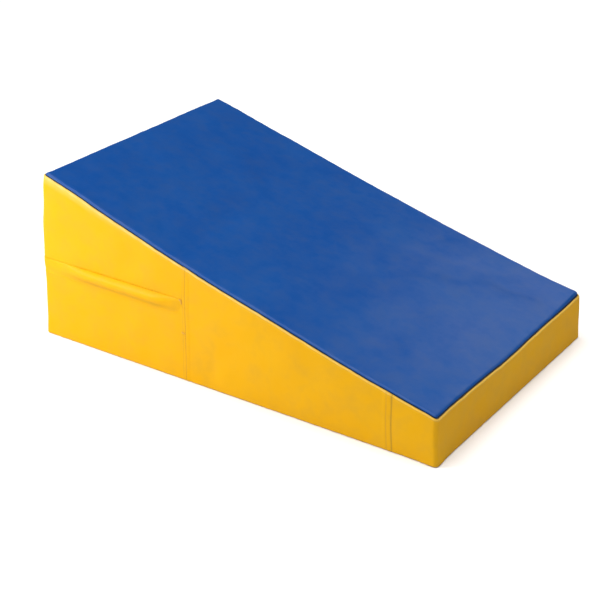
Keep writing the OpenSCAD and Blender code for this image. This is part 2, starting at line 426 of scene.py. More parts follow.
def woven_tape(name, colour, shade):
    """Zip tape: a tight twill of ribs across its length."""
    n = Nodes(name, colour, Roughness=0.85, Sheen_Weight=0.35, Specular_IOR_Level=0.3)
    ribs = n.bands(260.0, 0.6, "X")
    rows = n.bands(330.0, 0.4, "Z")
    weave = n.math("MULTIPLY", ribs, rows)
    n.drive("Base Color", n.mixed(weave, colour, shade))
    n.bump(weave, 0.6, 0.25 * MM)
    return n.material


def nylon(name, colour, shade):
    """Drawn plastic wire, a little scuffed."""
    n = Nodes(name, colour, Roughness=0.38, Specular_IOR_Level=0.55)
    n.drive("Base Color", n.mixed(n.between(n.noise(180.0), 0.0, 1.0, 0.3, 0.7), colour, shade))
    n.drive("Roughness", n.between(n.noise(600.0), 0.3, 0.5))
    n.bump(n.noise(2500.0), 0.2, 0.05 * MM)
    return n.material


def cast_metal(name, colour, shade):
    """Plated zinc: faint casting grain, brighter where hands have rubbed it."""
    n = Nodes(name, colour, Metallic=1.0)
    worn = n.noise(420.0, 3.0, 0.6)
    n.drive("Base Color", n.mixed(n.between(worn, 0.0, 1.0, 0.35, 0.7), colour, shade))
    n.drive("Roughness", n.between(worn, 0.34, 0.56))
    n.bump(n.noise(1500.0), 0.25, 0.08 * MM)
    return n.material


def thread(name, colour, shade):
    """Twisted sewing thread."""
    n = Nodes(name, colour, Roughness=0.6, Sheen_Weight=0.3)
    twist = n.bands(900.0, 1.5, "DIAGONAL")
    n.drive("Base Color", n.mixed(twist, colour, shade))
    n.bump(twist, 0.3, 0.12 * MM)
    return n.material


BLUE = vinyl(
    "vinyl_blue",
    colour=(0.002, 0.059, 0.262),
    shade=(0.015, 0.03, 0.075),
    bloom=(0.003, 0.065, 0.27),
    pale=(0.05, 0.12, 0.3),
    rough=0.34,
    gloss=0.2,
)
YELLOW = vinyl(
    "vinyl_yellow",
    colour=(0.73, 0.37, 0.003),
    shade=(0.34, 0.19, 0.03),
    bloom=(0.74, 0.39, 0.004),
    pale=(0.68, 0.48, 0.13),
    rough=0.42,
    gloss=0.09,
)
CORE = foam("core_foam", (0.62, 0.64, 0.66), (0.52, 0.54, 0.57), 1400.0)
SHEET_FOAM = foam("sheet_foam", (0.86, 0.86, 0.82), (0.78, 0.78, 0.73), 2200.0)
TAPE = woven_tape("zip_tape", (0.012, 0.012, 0.014), (0.035, 0.035, 0.038))
COIL = nylon("zip_coil", (0.02, 0.02, 0.022), (0.04, 0.04, 0.042))
METAL = cast_metal("zip_metal", (0.55, 0.55, 0.56), (0.72, 0.72, 0.73))
THREAD = thread("thread", (0.72, 0.37, 0.01), (0.58, 0.28, 0.008))


# ---------------------------------------------------------------- the plan and the walls

def straight(from_edge, edge_x, way, y):
    """Columns along one side: x, y and the way out of the wall."""
    x = edge_x + way * np.asarray(from_edge)
    columns = np.zeros((len(x), 4))
    columns[:, 0] = x
    columns[:, 1] = y
    columns[:, 3] = math.copysign(1, y)
    return columns


def round_end(edge_x, wall_x, from_edge, step):
    """Columns round one end of the plan, from the near side's edge to the far side's."""
    way = math.copysign(1, wall_x)
    y_wall = HALF_W - FACE_IN
    x_wall = wall_x - way * FACE_IN
    centre = (x_wall - way * CORNER_R, y_wall - CORNER_R)
    side = straight(from_edge, edge_x, way, -y_wall)
    arc = []
    for a in np.linspace(0, math.pi / 2, 9)[1:-1]:
        nx, ny = way * math.sin(a), -math.cos(a)
        arc.append([centre[0] + CORNER_R * nx, -centre[1] + CORNER_R * ny, nx, ny])
    y = spaced(-centre[1], 0, step)
    end = np.zeros((len(y), 4))
    end[:, 0] = x_wall
    end[:, 1] = y
    end[:, 2] = way
    half = np.vstack([side, arc, end])
    other = half[-2::-1].copy()
    other[:, [1, 3]] *= -1
    return np.vstack([half, other])


def to_corner(edge_x, wall_x):
    """How far a wall's open edge is from where its corner starts."""
    return abs(wall_x - edge_x) - FACE_IN - CORNER_R


def even_end(edge_x, step):
    """Evenly spaced columns round the high end, between two open edges at edge_x."""
    return round_end(edge_x, X_BACK, spaced(0, to_corner(edge_x, X_BACK), step), step)


def fine_end(edge_x, wall_x, first):
    """Columns round one end, as finely spaced by its open edges as first says."""
    coarse = spaced(first[-1], to_corner(edge_x, wall_x), WALL_STEP)[1:]
    return round_end(edge_x, wall_x, np.concatenate([first, coarse]), WALL_STEP)


FINE = [0, 0.25, 0.7, 1.5, 3, 5, 7, 8.2, 8.8, 9.4, 10, 11, 12.2, 12.8, 13.4, 14, 15, 16, 17, 18]
FINE = np.array(FINE + [19, 20.5, 22, 24, 27, 31, 36]) * MM


def lap_lift(from_edge, z, lap):
    """How far an outer panel stands up over the layer that it laps, and where stitching pulls it in."""
    width, rows, seed = lap
    hidden = width + 0.8 * MM * waves((z,), 60 * MM, seed)
    lift = LAP_LIFT * (1 - smooth((from_edge - hidden + 1 * MM) / (3 * MM)))
    lift = lift * (0.12 + 0.88 * smooth(from_edge / (5 * MM))) - 0.1 * MM
    for row in rows:
        lift = lift - 0.3 * MM * bell((from_edge - row) / (1.3 * MM))
    return lift + 0.18 * MM * waves((z,), 14 * MM, seed + 1) * bell((from_edge - rows[0]) / (6 * MM))


def lap_shade_lines(from_edge, lap, fold):
    """Painted shade: dark lines where the stitching pulls the cover in, and a painted shadow along the folded
    edge.
    """
    painted_lap_shade = sum(0.3 * bell((from_edge - row) / (1.2 * MM)) for row in lap[1])
    return painted_lap_shade + fold * bell(from_edge / (1.6 * MM))


def tucked_under(columns, edge_x):
    """How far a panel sinks where another laps over it, up to that one's edge."""
    return -TUCKED * (1 - smooth((columns[:, 0] - edge_x + 5 * MM) / (4 * MM)))


def wall_rows(low, high, low_edge, high_edge, count):
    """Heights and outward steps of a wall's rows: its low edge, its middle and its high edge."""
    z, out = [], []
    for step_out, rise in low_edge:
        z.append(low + rise)
        out.append(np.full_like(low, step_out))
    start, stop = low + low_edge[-1][1], high - high_edge[0][1]
    for f in np.linspace(0, 1, count + 2)[1:-1]:
        f = f + 0.03 * math.sin(4 * math.pi * f)
        z.append(start + (stop - start) * f)
        out.append(np.zeros_like(low))
    for step_out, drop in high_edge:
        z.append(high - drop)
        out.append(np.full_like(low, step_out))
    return np.array(z), np.array(out)


def rolled(radius, angles, tuck):
    """An edge that rolls into its seam: outward steps and distances from the edge, outside first."""
    edge = [(0.0, radius + 4 * MM), (0.0, radius + 1 * MM)]
    for a in np.radians(angles):
        edge.append((-radius * (1 - math.cos(a)), radius * (1 - math.sin(a))))
    return edge + tuck


TOP_EDGE = rolled(SIDE_ROLL, [12, 26, 40, 54, 66, 76], [(-3.3 * MM, 0.6 * MM), (-3.8 * MM, 2.6 * MM)])
BASE_EDGE = rolled(BASE_ROLL, [15, 32, 50, 68, 84], [(-2.4 * MM, 0.4 * MM)])[::-1]
UNDER_FLAP = (27, 24, 22, 20, 18.5, 17, 15.5, 14, 13, 12.2, 11.4, 10.6, 9.8, 9, 8, 7)
UNDER_FLAP = [(0.0, drop * MM) for drop in UNDER_FLAP]
FOLD_EDGE = ((0.0, 6.0), (0.0, 2.4), (-0.1, 1.0), (-0.4, 0.35), (-0.9, 0.0))
FOLD_EDGE = [(step_out * MM, drop * MM) for step_out, drop in FOLD_EDGE]


def wall_points(columns, z, out):
    """Points of a wall from its columns, heights and steps outward."""
    points = np.zeros((*z.shape, 3))
    points[..., 0] = columns[:, 0] + columns[:, 2] * out
    points[..., 1] = columns[:, 1] + columns[:, 3] * out
    points[..., 2] = z
    return points


def seam_pucker(columns, z, high, low):
    """Small gathers where the walls are sewn to the top, and softer ones above the base."""
    along = columns[:, 0] + columns[:, 1] * 0.9
    top = 0.5 * MM * waves((along, z * 0.4), 24 * MM, 11) * bell((high - z - 6 * MM) / (16 * MM))
    base = 0.35 * MM * waves((along, z * 0.4), 34 * MM, 12) * bell((z - low) / (20 * MM))
    broad = 0.7 * MM * waves((along, z), 110 * MM, 13)
    return top + base + broad * np.clip(z / (60 * MM), 0, 1) * np.clip((high - z) / (30 * MM), 0, 1)


def wall_marks(columns, z, low, high, painted_lap_shade):
    """Painted shade where a wall is tucked into its seams and along its lap stitching and folds, and a pale
    painted highlight along the crest below the top, wider towards the high end and fainter downhill.
    """
    depth = np.clip(high - z, 0, 1)
    # Painted shade in the groove where the wall tucks into the top seam, and along the base seam.
    tuck = bell(depth / (0.25 * MM)) + 0.5 * bell((z - low) / (1.5 * MM))
    # Painted highlight along the rolled crest under the top seam, where the edge catches the light: wider at the
    # high end and fainter downhill.
    downhill = (columns[:, 0] - X_BACK) / LENGTH
    wide = (1.6 + 4.5 * smooth(1.15 - 3 * downhill)) * MM
    crest_highlight = bell(np.clip(depth - 2.4 * MM, 0, 1) / wide) * (1 - 0.45 * smooth(downhill * 1.5 - 0.5))
    crest_highlight = crest_highlight * (0.8 + 0.2 * waves((columns[:, 0],), 40 * MM, 61))
    return {"seam": np.clip(tuck + painted_lap_shade, 0, 1), "crest_highlight": crest_highlight}


def past_lap(distance):
    """How free a wall is at a distance from its lap seam: 0 where it is sewn, 1 well away."""
    return smooth((distance - SEWN) / SEWN_FADE)


def inner_rows(z, low, high):
    """How free a wall's rows are: 0 where they are sewn to the top and base, 1 between."""
    return smooth((z - low - 4 * MM) / (18 * MM)) * smooth((high - z - 5 * MM) / (18 * MM))


def path_steps(columns):
    return np.linalg.norm(np.diff(columns[:, :2], axis=0), axis=1)


def path(columns):
    """How far each column is along the wall."""
    return np.concatenate([[0], np.cumsum(path_steps(columns))])


def finish_wall(panel, name):
    """Gives a settled wall panel its thickness, its material and its body."""
    thicken(panel)
    finish_piece(panel, "cover", YELLOW, [name])


def under_flap(columns, z):
    """How far the lower band swells out to meet the flap that is sewn to it."""
    size = (0.4 + 0.9 * flap_reach(columns)) * flap_end(columns) * MM
    below = smooth((z - HINGE_Z + 8 * MM) / (8 * MM)) ** 1.5
    return size * np.where(z <= HINGE_Z, below, 1 - smooth((z - HINGE_Z) / (3 * MM)))


def rear_band(name, low_edge, high_edge, count):
    """One of the two bands round the high end, which fold back from the zip and meet past its ends."""
    upper = name == "rear_upper_band"
    columns = fine_end(LAP_REAR, X_BACK, FINE)
    from_edge = LAP_REAR - columns[:, 0]
    opened = smooth((from_edge - (LAP_REAR - SLIT_END) + 4 * MM) / (7 * MM))
    if upper:
        low, high = ZIP_Z + SLIT_HALF * opened + FOLD_GAP, seam_at(columns)
    else:
        low, high = np.full(len(columns), BASE_GAP), ZIP_Z - SLIT_HALF * opened - FOLD_GAP
    z, out = wall_rows(low, high, low_edge, high_edge, count)
    slit = np.minimum(np.abs(z - high), np.abs(z - low)) < 1.5 * MM
    by_zip = (out < 0) & slit & (np.abs(z - ZIP_Z) < 2 * SLIT_HALF)
    out = np.where(by_zip, out * opened, out) + lap_lift(from_edge, z, REAR_LAP)
    pucker = seam_pucker(columns, z, top_at(columns[:, 0]), 0)
    out = out + pucker * np.clip(np.abs(z - ZIP_Z) / ZIP_QUIET, 0, 1)
    if not upper:
        out = out + under_flap(columns, z)
    # The edge by the zip gets no painted shade, so its tuck is put a metre away.
    marks = wall_marks(columns, z, low - upper, high + (not upper), lap_shade_lines(from_edge, REAR_LAP, 0.0))
    points = settled(wall_points(columns, z, out))
    panel = make_object(name, points, grid_faces(*z.shape, flip=True), marks)
    relax(panel, past_lap(from_edge) * inner_rows(z, low, high), 0.8 * MM)
    finish_wall(panel, name)


def side_panel(name, side):
    """One side between the two lap seams: tucked under the rear bands, lapping over the front band."""
    width = LAP_FRONT - SIDE_START
    ends = width - np.array([0, 8, 14, 18, 22]) * MM
    steps = np.concatenate([FINE, spaced(FINE[-1], ends[-1], WALL_STEP)[1:-1], ends[::-1]])
    columns = straight(steps[::-1], LAP_FRONT, -1, side * (HALF_W - FACE_IN))
    x = columns[:, 0]
    from_edge = LAP_FRONT - x
    high = seam_at(columns)
    low = np.full(len(columns), BASE_GAP)
    z, out = wall_rows(low, high, BASE_EDGE, TOP_EDGE, 22)
    dent = -2.2 * MM * bell((x + 28 * MM) / (13 * MM)) * bell((z - 45 * MM) / (30 * MM))
    fold = 0.9 * MM * bell((x + 2 * MM - 0.25 * z) / (12 * MM)) * bell((z - 40 * MM) / (34 * MM))
    near_zip = 1 - np.clip(np.abs(z - ZIP_Z) / ZIP_QUIET, 0, 1)
    still = 1 - near_zip * (1 - smooth((x - LAP_REAR) / (80 * MM)))
    out = out + lap_lift(from_edge, z, FRONT_LAP) + dent + fold + tucked_under(columns, LAP_REAR)
    out = out + seam_pucker(columns, z, high, 0) * still
    marks = wall_marks(columns, z, low, high, lap_shade_lines(from_edge, FRONT_LAP, 1.0))
    points = settled(wall_points(columns, z, out))
    panel = make_object(name, points, grid_faces(*z.shape, flip=side > 0), marks)
    free = past_lap(from_edge) * past_lap(width - from_edge)
    relax(panel, free * inner_rows(z, low, high), 0.9 * MM)
    finish_wall(panel, name)


def front_band():
    """Wraps the low end and laps behind both side panels."""
    by_fold = FRONT_LAP[0] + np.array([-4, -2, -1, 0, 0.7, 1.5, 2.5, 4, 6.5]) * MM
    first = np.concatenate([np.array([0, 5, 10]) * MM, by_fold])
    columns = fine_end(FRONT_START, X_FRONT, first)
    high = seam_at(columns)
    low = np.full(len(columns), BASE_GAP)
    z, out = wall_rows(low, high, BASE_EDGE, TOP_EDGE, 12)
    out = out + seam_pucker(columns, z, high, 0) + tucked_under(columns, LAP_FRONT)
    # Painted shadow on the front band beside the folded edge of the side panel that laps over it.
    fold_shadow = 0.8 * bell((columns[:, 0] - LAP_FRONT) / (1.3 * MM))
    marks = wall_marks(columns, z, low, high, fold_shadow)
    points = settled(wall_points(columns, z, out))
    panel = make_object("front_band", points, grid_faces(*z.shape), marks)
    free = smooth((columns[:, 0] - FRONT_START - 22 * MM) / (15 * MM)) * inner_rows(z, low, high)
    relax(panel, free, 0.8 * MM)
    finish_wall(panel, "front_band")


# ---------------------------------------------------------------- slabs: the top, the base and the foam

def corner_outline(sharp=0.4, steps=6):
    """Directions that carry a ring round a corner: straight, then an arc, then straight."""
    outline = [(1.0, (1 - sharp) / 2)]
    for a in np.linspace(0, math.pi / 2, steps):
        outline.append((1 - sharp + sharp * math.cos(a), 1 - sharp + sharp * math.sin(a)))
    return outline + [((1 - sharp) / 2, 1.0)]


def rim_loop(nx, ny):
    """A grid's outer points in turn and the way out of each, fanned out round the corners."""
    rim = [(i, (0.0, -1.0)) for i in range(nx)]
    rim += [(j * nx + nx - 1, (1.0, 0.0)) for j in range(ny)]
    rim += [(ny * nx - 1 - i, (0.0, 1.0)) for i in range(nx)]
    rim += [((ny - 1 - j) * nx, (-1.0, 0.0)) for j in range(ny)]
    loop, ways = [], []
    for k, (index, way) in enumerate(rim):
        after, other = rim[(k + 1) % len(rim)]
        fan = corner_outline() if after == index else []
        for u, v in [(1.0, 0.0)] + fan:
            loop.append(index)
            ways.append((u * way[0] + v * other[0], u * way[1] + v * other[1]))
    return loop, np.array(ways)


def slab_faces(nx, ny, loop, rings, closed):
    """A slab's top grid, the rings round it, and a second grid where it is closed below."""
    count, start = len(loop), nx * ny
    last = start + (rings - 1) * count
    under = last + count
    turns = [(k, (k + 1) % count) for k in range(count)]
    faces = grid_faces(ny, nx)
    for k, after in turns:
        a, b, c, d = loop[k], loop[after], start + k, start + after
        faces.append((a, c, d) if a == b else (a, c, d, b))
    for ring in range(start, last, count):
        faces += [(ring + k, ring + k + count, ring + after + count, ring + after) for k, after in turns]
    if closed:
        faces += grid_faces(ny, nx, under, flip=True)
        for k, after in turns:
            a, b, c, d = under + loop[k], under + loop[after], last + k, last + after
            faces.append((a, d, c) if a == b else (a, b, d, c))
    return faces


def slab(name, inset, step, rings, top, bottom=None, x_end=X_FRONT, flip=False, detail=None):
    """A grid with rings that roll over its edge. Each ring is how far out, its share of the way from
    the top to the bottom, and a drop. With a bottom, the block is closed by a second grid."""
    closed = bottom is not None
    xs, ys = spaced(X_BACK + inset, x_end - inset, step), spaced(inset - HALF_W, HALF_W - inset, step)
    nx, ny = len(xs), len(ys)
    gx, gy = np.meshgrid(xs, ys)
    core = np.stack([gx.ravel(), gy.ravel()], axis=1)
    loop, ways = rim_loop(nx, ny)
    plan = np.vstack([core] + [core[loop] + ways * ring[0] for ring in rings] + [core] * closed)
    layers = [(0.0, 0.0, 0.0)] + rings + [(0.0, 1.0, 0.0)] * closed
    sizes = [len(core)] + [len(loop)] * len(rings) + [len(core)] * closed
    shares = np.repeat([layer[1] for layer in layers], sizes)
    drops = np.repeat([layer[2] for layer in layers], sizes)
    z = top(plan[:, 0])
    if closed:
        z = z * (1 - shares) + bottom(plan[:, 0]) * shares - drops
    else:
        z = z - drops * (1 + seam_sink(plan[:, 0], plan[:, 1]) / TOP_ROLL_H)
    points = np.column_stack([plan, z])
    if detail is not None:
        points = detail(points)
    faces = slab_faces(nx, ny, loop, len(rings), closed)
    if flip:
        faces = [face[::-1] for face in faces]
    # Painted shade over the rolled edge, darkest down in the seam, where the edge turns away from the light.
    seam = smooth((np.abs(drops) / (TOP_ROLL_H + 1 * MM)) ** 2)
    return make_object(name, settled(points), faces, {"seam": seam})


def roll_rings(flat_steps, width, height, angles, tuck):
    """Rings that run flat, then over a rounded edge, then down into a seam."""
    rings = [(s, 0.0, 0.0) for s in flat_steps]
    for a in np.radians(angles):
        rings.append((flat_steps[-1] + width * math.sin(a), 0.0, height * (1 - math.cos(a))))
    last = rings[-1]
    for step_out, drop in tuck:
        rings.append((last[0] + step_out, 0.0, last[2] + drop))
    return rings


def from_top_edge(x, y):
    """How far places on the top are from its nearest edge."""
    return np.minimum(np.minimum(x - X_BACK, X_FRONT - x), HALF_W - np.abs(y))


def top_detail(points):
    """Small gathers in the top along its seams."""
    x, y, z = points.T
    edge = from_top_edge(x, y)
    gather = 0.3 * MM * waves((x, y), 30 * MM, 41) * bell((edge - 9 * MM) / (14 * MM))
    broad = 0.12 * MM * waves((x, y), 55 * MM, 42) * np.clip(edge / (60 * MM), 0, 1)
    points[:, 2] = z + gather + broad
    return points


def top_panel():
    """The blue top, rolled over all round into the seam with the walls."""
    inset = SEAM_IN + TOP_ROLL_W + 3 * MM
    angles = [8, 18, 28, 38, 48, 57, 66, 74, 81, 87]
    rings = roll_rings([1.5 * MM, 3 * MM], TOP_ROLL_W, TOP_ROLL_H, angles, [(0.1 * MM, 1.6 * MM)])
    panel = slab("top_panel", inset, WALL_STEP, rings, lambda x: top_at(x) + TOP_RISE, detail=top_detail)
    places = np.array([vertex.co for vertex in panel.data.vertices])
    edge = from_top_edge(places[:, 0], places[:, 1])
    relax(panel, smooth((edge - 18 * MM) / (40 * MM)), 0.6 * MM)
    thicken(panel)
    finish_piece(panel, "cover", BLUE, ["top_panel"])


def level(z):
    """A face that is flat, at one height."""
    return lambda x: 0 * x + z


def bottom_panel():
    """The underside, flat on the ground and turned up a little into the base seam."""
    inset = BASE_ROLL + 6 * MM
    rings = [(1.5 * MM, 0, 0), (3 * MM, 0, -0.1 * MM), (4.5 * MM, 0, -0.4 * MM), (5.6 * MM, 0, -1.2 * MM)]
    panel = slab("bottom_panel", inset, 2 * WALL_STEP, rings, level(0), flip=True)
    thicken(panel, BASE_T)
    finish_piece(panel, "cover", YELLOW, ["bottom_panel"])


def foam_block(name, x_end, top, bottom, radius, material):
    """One block of the core, cut square with softened edges."""
    angles = np.radians([20, 40, 60, 80])
    rings = [(radius * math.sin(a), 0.0, radius * (1 - math.cos(a))) for a in angles]
    rings += [(radius, share, radius * (1 - 2 * share) * 0.98) for share in (0.2, 0.5, 0.8)]
    rings += [(radius * math.sin(a), 1.0, -radius * (1 - math.cos(a))) for a in angles[::-1]]
    block = slab(name, 5 * MM + radius, 22 * MM, rings, top, bottom, x_end)
    finish_piece(block, "cover", material, [name])


def foam_core():
    """Two slabs, the wedge on them and the firm sheet along the incline, with a hair between them."""
    base_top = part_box("foam_base_slab")[1].z
    middle_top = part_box("foam_middle_slab")[1].z
    sheet_drop = HIGH_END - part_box("foam_top_sheet")[1].z + 2 * MM
    under = HIGH_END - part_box("foam_upper_wedge")[1].z
    wedge_end = X_BACK + (HIGH_END - under - middle_top) / SLOPE

    def middle_face(x):
        return np.minimum(middle_top, top_at(x) - under) - FOAM_GAP

    def wedge_face(x):
        return np.maximum(top_at(x) - under, middle_top + 1.2 * MM) - FOAM_GAP

    for name, x_end, top, bottom, radius in (
        ("foam_base_slab", X_FRONT, level(base_top - FOAM_GAP), level(PLAN_HIGH.z + FOAM_GAP), 6),
        ("foam_middle_slab", X_FRONT, middle_face, level(base_top + FOAM_GAP), 2),
        ("foam_upper_wedge", wedge_end, wedge_face, level(middle_top + FOAM_GAP), 0.5),
    ):
        foam_block(name, x_end, top, bottom, radius * MM, CORE)
    foam_block("foam_top_sheet", X_FRONT, lambda x: top_at(x) - sheet_drop,
               lambda x: top_at(x) - under + FOAM_GAP, 8 * MM, SHEET_FOAM)


# ---------------------------------------------------------------- stitches

def capsule(a, b, out, radius):
    """One stitch between two places on the cover: a bent capsule, pulled down at its ends."""
    a, b, out = np.array(a), np.array(b), np.array(out)
    along = (b - a) / np.linalg.norm(b - a)
    side = np.cross(along, out)
    points, rounds = [], 6
    stations = ((0.0, 0.25), (0.10, 0.8), (0.3, 1.0), (0.7, 1.0), (0.9, 0.8), (1.0, 0.25))
    for f, size in stations:
        middle = a + (b - a) * f + out * radius * (1.1 * math.sin(math.pi * f) - 0.5)
        for k in range(rounds):
            turn = 2 * math.pi * k / rounds
            points.append(middle + radius * size * (math.cos(turn) * side + math.sin(turn) * out))
    return points, tube_faces(len(stations), rounds, inward=True)


def join_parts(name, parts):
    """One object from many small closed parts."""
    points, faces = [], []
    for part_points, part_faces in parts:
        start = len(points)
        points += list(part_points)
        faces += [tuple(i + start for i in face) for face in part_faces]
    return make_object(name, points, faces)


def lap_stitches(name, x, side, lap):
    """A row of stitches up one lap seam, following the cover's face."""
    first, row = 6 * MM, lap[1][0]
    high = float(top_at(x))
    wall = np.array([[x, side * (HALF_W - FACE_IN)]])
    parts = []
    for k in range(int((high - 7 * MM - first) / STITCH_PITCH)):
        start = first + k * STITCH_PITCH
        ends = []
        for z in (start, start + STITCH_LENGTH):
            still = min(abs(z - ZIP_Z) / ZIP_QUIET, 1) if x < LAP_REAR else 1
            out = lap_lift(np.array([row]), z, lap) + seam_pucker(wall, z, high, 0) * still
            ends.append(settled(np.array([x, wall[0, 1] + side * float(out[0]), z])))
        parts.append(capsule(*ends, (0, side, 0), THREAD_R))
    finish_piece(join_parts(name, parts), "cover", THREAD, [name])


def bar_tacks():
    """Dense zigzags of thread at each end of the flap: over its lip, down its end and below it."""
    x_low, x_high = TACK_LOW.x, TACK_HIGH.x
    places = (
        (x_low - 5 * MM, x_high, LIP_Z - 3.5 * MM, LIP_Z + 0.5 * MM),
        (x_low, x_high, LIP_Z - 10 * MM, LIP_Z - 3 * MM),
        (x_low, x_high + 6 * MM, HINGE_Z - 42 * MM, HINGE_Z - 38 * MM),
    )
    out = HALF_W + 0.35 * MM
    turn = 0.8 * MM
    parts = []
    for side in (-1, 1):
        for left, right, z_low, z_high in places:
            for k in range(int((z_high - z_low) / turn)):
                xs = (left, right) if k % 2 else (right, left)
                a = settled(np.array([xs[0], side * out, z_low + k * turn]))
                b = settled(np.array([xs[1], side * out, z_low + (k + 1) * turn]))
                parts.append(capsule(a, b, (0, side, 0), TACK_R))
    tacks = join_parts("flap_bar_tacks", parts)
    finish_piece(tacks, "cover", THREAD, ["flap_bar_tacks"])


# ---------------------------------------------------------------- the flap over the zip

def flap_reach(columns):
    """How far the flap has bellied out at each column, from 0 where it lies flat to 1."""
    from_back = columns[:, 0] - X_BACK
    rise = smooth((from_back - 20 * MM) / (120 * MM))
    fall = smooth((from_back - 290 * MM) / (78 * MM))
    along = np.clip((HALF_W - WRAP - np.abs(columns[:, 1])) / (HALF_W - WRAP), 0, 1)
    back = smooth(along * 2.2)
    on_back = np.abs(columns[:, 2]) > 0.99
    return np.where(on_back, back, rise * (1 - fall))


def flap_end(columns):
    """Falls to 0 at the flap's two sewn ends, where it thins into the lap seam."""
    return smooth((FLAP_EDGE - columns[:, 0]) / (12 * MM))


def curve(t, ends, bends):
    """A smooth curve from one end to the other, drawn towards two places between."""
    inner = 3 * t * (1 - t) * (bends[0] * (1 - t) + bends[1] * t)
    return ends[0] * (1 - t) ** 3 + inner + ends[1] * t ** 3


def flap_section(t, reach, belly, end):
    """The middle of the flap's thickness at one column: outward steps and heights, as t goes from 0
    at its root to 1 at its lip. It mixes the bellied shape with the flat one, sunk in at its root."""
    out = curve(t, (HINGE_OUT, reach * 0.06), (reach * 0.10, reach * 1.60))
    z = curve(t, (HINGE_Z, LIP_Z), (HINGE_Z + 9 * MM, HINGE_Z + 18 * MM))
    sunk = 2.3 * (1 - t) ** 3
    flat_out = (-0.8 + 1.4 * end + 0.15 * np.sin(math.pi * t) - sunk) * MM
    flat_z = HINGE_Z + (LIP_Z - HINGE_Z) * t
    return out * belly + flat_out * (1 - belly), z * belly + flat_z * (1 - belly)


def flap_strip(name, columns, reach):
    """One stretch of the hemmed flap, as a closed strip with a round root and lip, and a band of
    painted shade low on its outer side where it turns under."""
    belly, end = flap_reach(columns), flap_end(columns)
    t = np.linspace(0, 1, 15)
    sections = []
    for k, column in enumerate(columns):
        out, z = flap_section(t, reach, belly[k], end[k])
        middle = np.stack([out + 0.5 * MM * waves((column[0] + column[1],), 60 * MM, 51) * t ** 2, z])
        along = np.gradient(middle, axis=1)
        along = along / np.linalg.norm(along, axis=0)
        thin = (0.35 + 0.65 * end[k]) * (0.4 + 0.6 * smooth(belly[k] * 4))
        half = FLAP_T / 2 * thin * (1 - 0.5 * smooth((t - 0.75) / 0.25))
        to_face = np.stack([along[1], -along[0]]) * half
        tip = middle[:, -1] + along[:, -1] * half[-1] * 0.8
        root = middle[:, 0] - along[:, 0] * half[0] * 0.8
        outer, inner = (middle + to_face).T, (middle - to_face).T
        sections.append(np.concatenate([outer, [tip], inner[::-1], [root]]))
    out, z = np.moveaxis(np.array(sections), 2, 0)
    loops = settled(wall_points(columns, z.T, out.T).swapaxes(0, 1))
    underside_shade = np.zeros(loops.shape[:2])
    # Painted shade in a band under the flap's belly, where it turns under.
    underside_shade[:, :len(t)] = 0.38 * bell((t - 0.26) / 0.17) * belly[:, None]
    faces = tube_faces(*loops.shape[:2])
    return make_object(name, loops, faces, {"seam": underside_shade}, flat=2)


def flap_pieces():
    """The flap round the high end in six pieces: each seam end, each corner and each half of the back."""
    columns = even_end(FLAP_EDGE, 5 * MM)
    lengths = path(columns)
    total = lengths[-1]
    reach = to_corner(FLAP_EDGE, X_BACK)
    corner = reach + CORNER_R * math.pi / 2 + WRAP
    side_split = reach * 0.45
    splits = [0, side_split, corner, total / 2, total - corner, total - side_split, total]
    splits = [int(np.argmin(np.abs(lengths - split))) for split in splits]
    mid_y = HALF_W - WRAP
    by_seam = ((FLAP_EDGE - 4 * MM, 0), (FLAP_EDGE - BEND_LENGTH, 0))
    by_corner = ((X_BACK + 30 * MM, 0), (X_BACK + 30 * MM + BEND_LENGTH, 0))
    by_near_wrap = ((X_BACK, -mid_y), (X_BACK, -mid_y + BEND_LENGTH))
    by_far_wrap = ((X_BACK, mid_y), (X_BACK, mid_y - BEND_LENGTH))
    pieces = (
        ("flap_near_seam_end", "near", by_seam),
        ("flap_near_corner", "near", by_corner),
        ("flap_back_near_half", "back", by_near_wrap),
        ("flap_back_far_half", "back", by_far_wrap),
        ("flap_far_corner", "far", by_corner),
        ("flap_far_seam_end", "far", by_seam),
    )
    for k, (name, place, (start, end)) in enumerate(pieces):
        part = columns[splits[k]:splits[k + 1] + 1]
        strip = flap_strip(name, part, BACK_REACH if place == "back" else SIDE_REACH)
        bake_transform(strip)
        finish_piece(strip, None, YELLOW, ["zip_flap_" + place])


# ---------------------------------------------------------------- the zip

def tape(name, z_low, z_high):
    """Half of the zip's tape, just behind the cover."""
    columns = even_end(SLIT_END, WALL_STEP)
    z = np.repeat(np.linspace(z_low, z_high, 5)[:, None], len(columns), axis=1)
    points = settled(wall_points(columns, z, -CLOTH_T - 0.15 * MM))
    strip = make_object(name, points, grid_faces(*z.shape, flip=True))
    thicken(strip, TAPE_T)
    finish_piece(strip, "cover", TAPE, [name])


